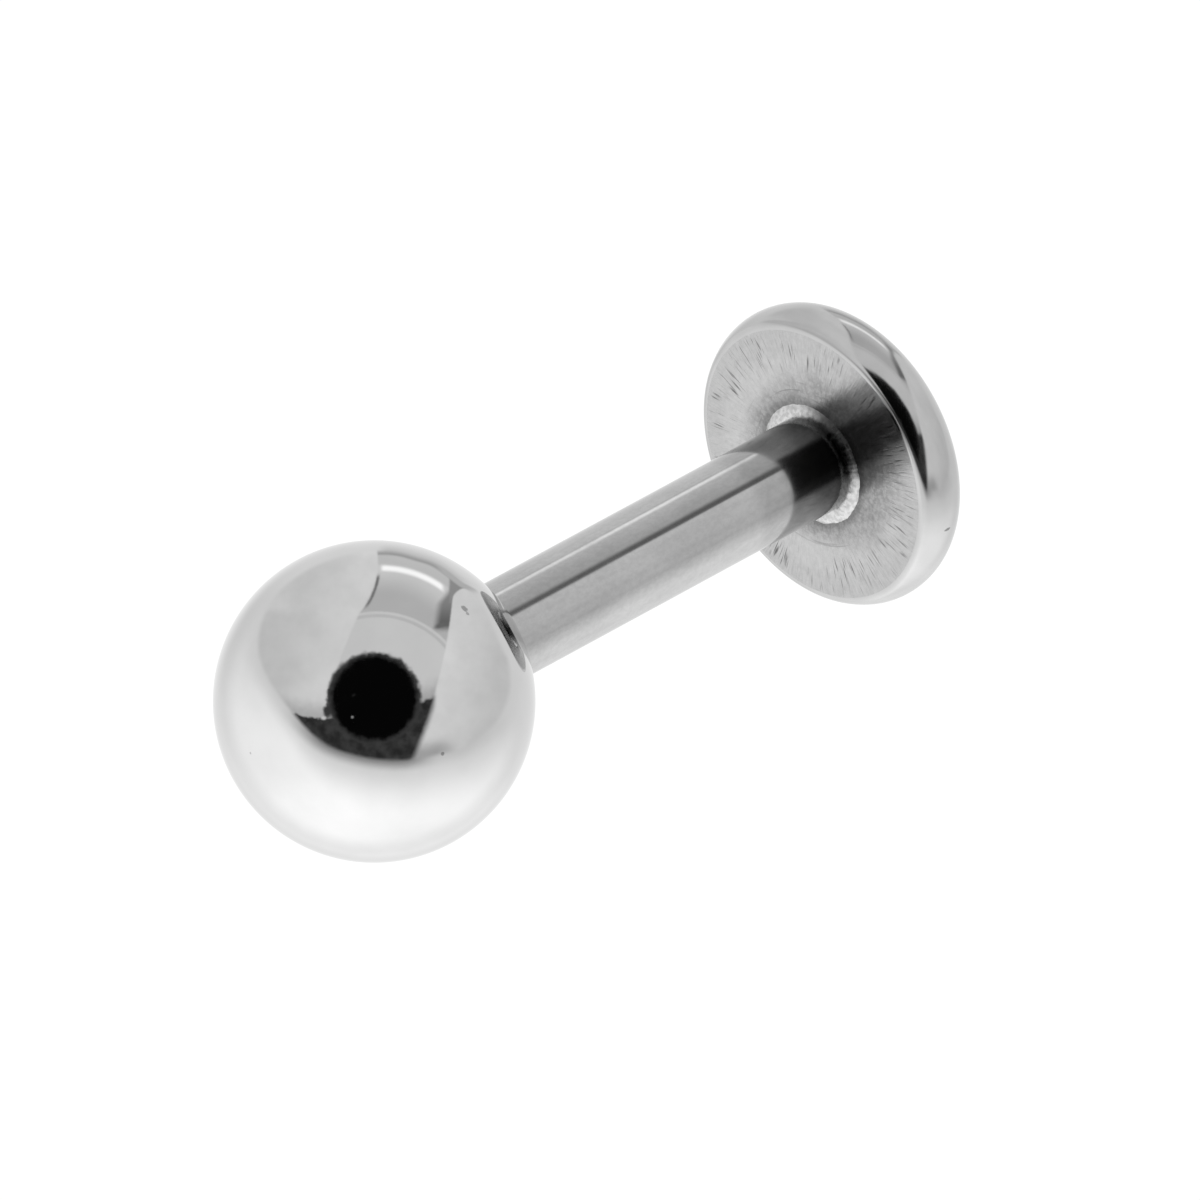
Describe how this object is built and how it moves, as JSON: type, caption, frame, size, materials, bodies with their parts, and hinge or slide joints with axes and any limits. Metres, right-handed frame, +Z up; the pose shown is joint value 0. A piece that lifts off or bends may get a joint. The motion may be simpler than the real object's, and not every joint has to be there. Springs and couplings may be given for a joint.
{
  "type": "labret stud",
  "caption": "Body-jewellery stud: a round straight post welded to a domed disc, with a ball that screws onto the post's threaded tip.",
  "frame": {"origin": "bottom centre of the whole stud's box, on the surface it lies on, under the middle of its length", "axes": "+X along the post from the disc to the ball, +Z up from the surface that the ball and the disc's rim lie on, +Y to the side"},
  "size_m": [0.014, 0.005, 0.005],
  "materials": {
    "polished_steel": "machine-polished surgical steel, satin on the disc's flat face with fine radial scratches, heat-darkened and grainy at the weld",
    "mirror_steel": "mirror-polished surgical steel with faint handling marks"
  },
  "bodies": {
    "stud": {"post_and_disc": "polished_steel"},
    "ball": {"ball": "mirror_steel"}
  },
  "joints": [
    {"name": "ball_unscrew", "type": "slide", "parent": "stud", "child": "ball", "axis": [1, 0, 0], "range_m": [0, 0.01]}
  ]
}
